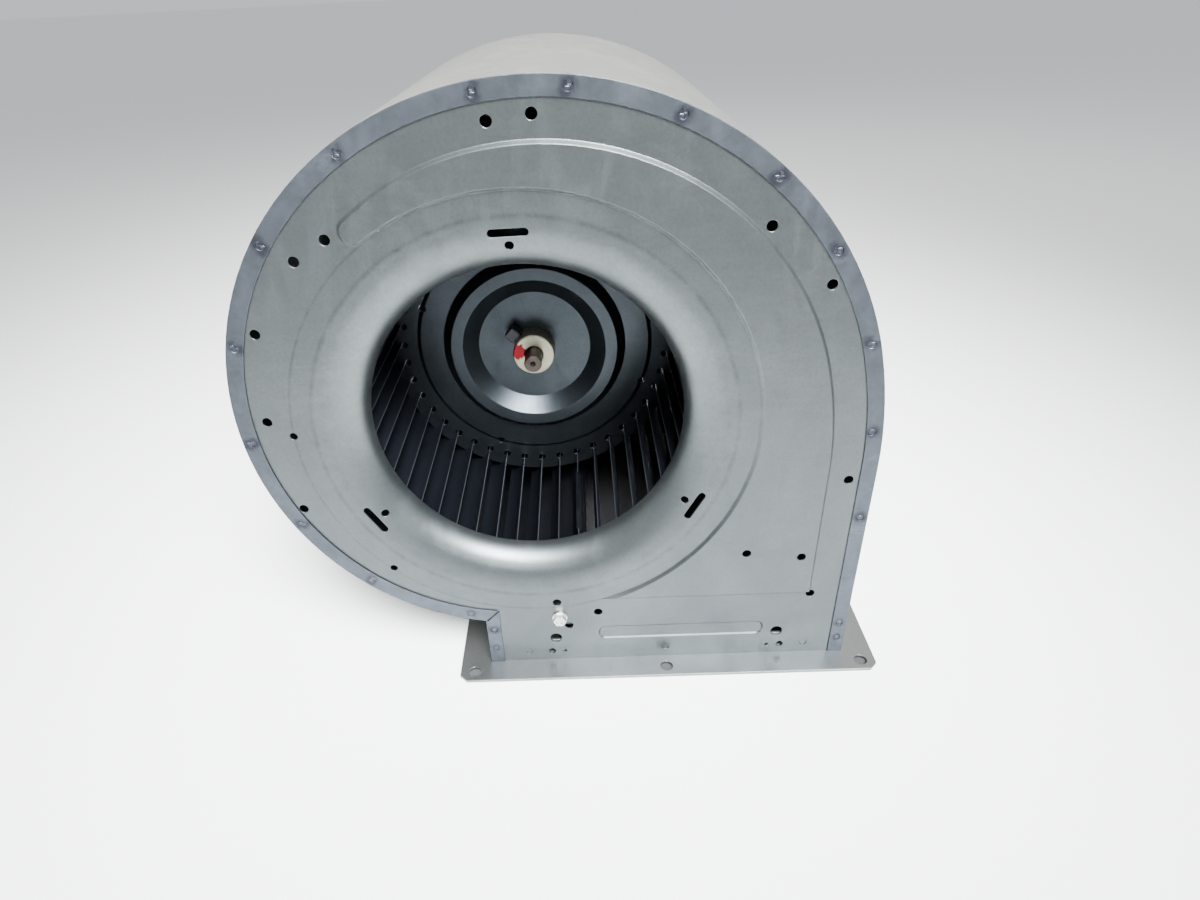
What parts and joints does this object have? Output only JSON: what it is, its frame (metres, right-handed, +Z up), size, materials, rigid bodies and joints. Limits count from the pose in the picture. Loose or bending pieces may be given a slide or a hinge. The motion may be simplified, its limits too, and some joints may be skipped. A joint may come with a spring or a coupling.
{
  "type": "double inlet centrifugal blower",
  "caption": "Double-inlet centrifugal blower: galvanised scroll on an outlet flange, forward-curved wheel on the shaft of a motor held in the far inlet by arms.",
  "frame": {"origin": "centre of the outlet flange's underside, midway between its bolt holes", "axes": "+Z up, away from the outlet; -Y towards the free inlet, +Y towards the motor side; the wheel turns about Y"},
  "size_m": [0.4128, 0.338, 0.388],
  "materials": {
    "galvanised_sheet": "galvanised, satin",
    "wheel_steel": "galvanised, satin",
    "hub_zinc": "yellowish zinc plate",
    "zinc_fastener": "bright zinc plate",
    "black_fastener": "black oxide",
    "bright_steel": "ground",
    "arm_steel": "zinc plated strap",
    "motor_paint": "satin black enamel",
    "cast_aluminium": "as cast",
    "lamination": "oxide blue steel laminations",
    "winding": "enamelled copper",
    "sintered_bronze": "sintered bronze",
    "thrust_plastic": "plain nylon",
    "rubber": "matte"
  },
  "bodies": {
    "housing": {"inlet_side_panel": "galvanised_sheet", "motor_side_panel": "galvanised_sheet", "scroll_wrap": "galvanised_sheet", "outlet_flange": "galvanised_sheet", "cutoff_plate": "galvanised_sheet", "cutoff_screws": "zinc_fastener", "motor_shell": "motor_paint", "front_end_bell": "cast_aluminium", "rear_end_bell": "cast_aluminium", "front_bearing": "sintered_bronze", "rear_bearing": "sintered_bronze", "stator_core": "lamination", "stator_windings": "winding", "through_bolts": "zinc_fastener", "through_bolt_nuts": "zinc_fastener", "lead_gland": "rubber", "motor_band": "arm_steel", "band_clamp_screw": "zinc_fastener", "band_clamp_nut": "zinc_fastener", "motor_arms": "arm_steel", "arm_grommets": "rubber", "arm_screws": "zinc_fastener"},
    "wheel": {"centre_disc": "wheel_steel", "fan_blades": "wheel_steel", "inlet_end_ring": "wheel_steel", "motor_end_ring": "wheel_steel", "wheel_hub": "hub_zinc", "hub_set_screw": "black_fastener", "balance_clip": "zinc_fastener", "motor_shaft": "bright_steel", "rotor_core": "lamination", "rotor_end_rings": "cast_aluminium", "thrust_washers": "thrust_plastic"}
  },
  "joints": [
    {"name": "wheel_spin", "type": "hinge", "parent": "housing", "child": "wheel", "pos_m": [-0.08854, 0, 0.194], "axis": [0, 1, 0], "continuous": true}
  ]
}
